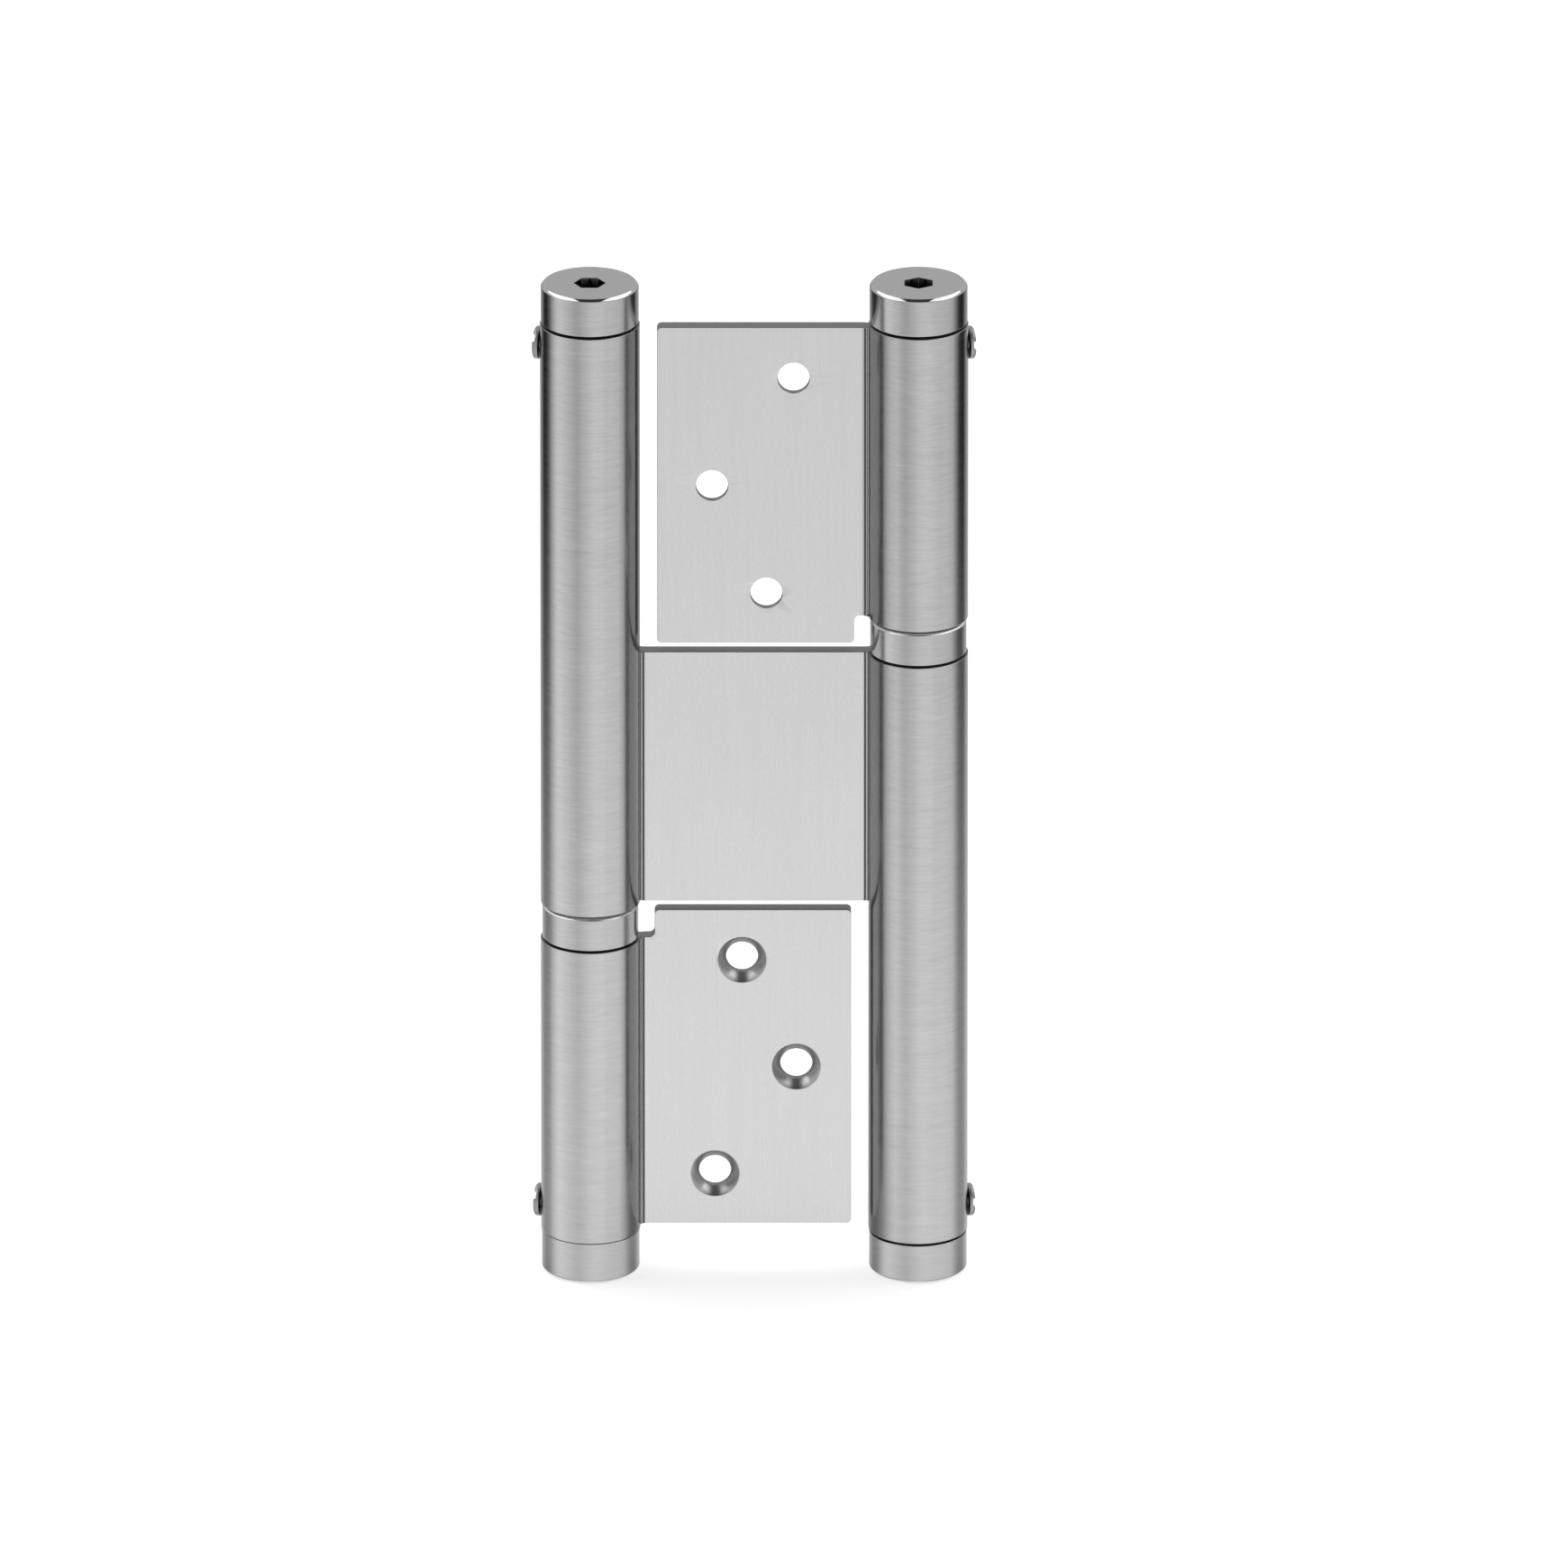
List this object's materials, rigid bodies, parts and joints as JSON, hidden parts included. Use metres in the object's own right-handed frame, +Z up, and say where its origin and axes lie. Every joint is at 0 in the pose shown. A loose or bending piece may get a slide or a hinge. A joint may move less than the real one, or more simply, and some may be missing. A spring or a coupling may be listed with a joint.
{
  "type": "double action spring hinge",
  "caption": "Double action spring hinge: two barrels joined by a middle leaf, with an upper and a lower screw leaf, so that a door swings both ways and returns.",
  "frame": {"origin": "on the ground, midway between the two barrel axes", "axes": "+Z up along the barrels, +X from the left barrel to the right barrel, -Y to the pictured front"},
  "size_m": [0.0814, 0.018, 0.19],
  "materials": {
    "leaf_steel": "satin brushed stainless steel",
    "plug_steel": "turned and satin brushed stainless steel",
    "ring_steel": "turned stainless steel with bright chamfers",
    "screw_steel": "plain steel, dark in the slot",
    "inner_steel": "ground steel",
    "spring_steel": "oiled spring steel",
    "bush_plastic": "black moulded plastic"
  },
  "bodies": {
    "frame_side": {"frame_leaf": "leaf_steel", "right_top_screw": "screw_steel", "right_upper_bush": "bush_plastic"},
    "centre": {"middle_leaf": "leaf_steel", "left_top_screw": "screw_steel", "right_bottom_screw": "screw_steel", "left_upper_bush": "bush_plastic", "right_lower_bush": "bush_plastic", "left_ring": "ring_steel", "right_ring": "ring_steel", "left_sleeve": "inner_steel", "right_sleeve": "inner_steel", "left_spring": "spring_steel", "right_spring": "spring_steel"},
    "door_side": {"door_leaf": "leaf_steel", "left_bottom_screw": "screw_steel", "left_lower_bush": "bush_plastic"},
    "right_top_adjuster": {"right_top_plug": "plug_steel"},
    "right_bottom_adjuster": {"right_bottom_plug": "plug_steel"},
    "left_top_adjuster": {"left_top_plug": "plug_steel"},
    "left_bottom_adjuster": {"left_bottom_plug": "plug_steel"}
  },
  "joints": [
    {"name": "frame_swing", "type": "hinge", "parent": "frame_side", "child": "centre", "pos_m": [0.0296, 0, 0.095], "axis": [0, 0, -1], "range_deg": [0, 180], "stiffness_Nm_per_rad": 0.25, "springref_deg": -57.3, "deforming": ["right_spring"]},
    {"name": "door_swing", "type": "hinge", "parent": "centre", "child": "door_side", "pos_m": [-0.0296, 0, 0.095], "axis": [0, 0, 1], "range_deg": [0, 180], "stiffness_Nm_per_rad": 0.25, "springref_deg": -57.3, "deforming": ["left_spring"]},
    {"name": "right_top_adjust", "type": "hinge", "parent": "frame_side", "child": "right_top_adjuster", "pos_m": [0.0296, 0, 0.186], "axis": [0, 0, 1], "range_deg": [0, 180]},
    {"name": "right_bottom_adjust", "type": "hinge", "parent": "centre", "child": "right_bottom_adjuster", "pos_m": [0.0296, 0, 0.004], "axis": [0, 0, 1], "range_deg": [0, 180]},
    {"name": "left_top_adjust", "type": "hinge", "parent": "centre", "child": "left_top_adjuster", "pos_m": [-0.0296, 0, 0.186], "axis": [0, 0, 1], "range_deg": [0, 180]},
    {"name": "left_bottom_adjust", "type": "hinge", "parent": "door_side", "child": "left_bottom_adjuster", "pos_m": [-0.0296, 0, 0.004], "axis": [0, 0, 1], "range_deg": [0, 180]}
  ]
}
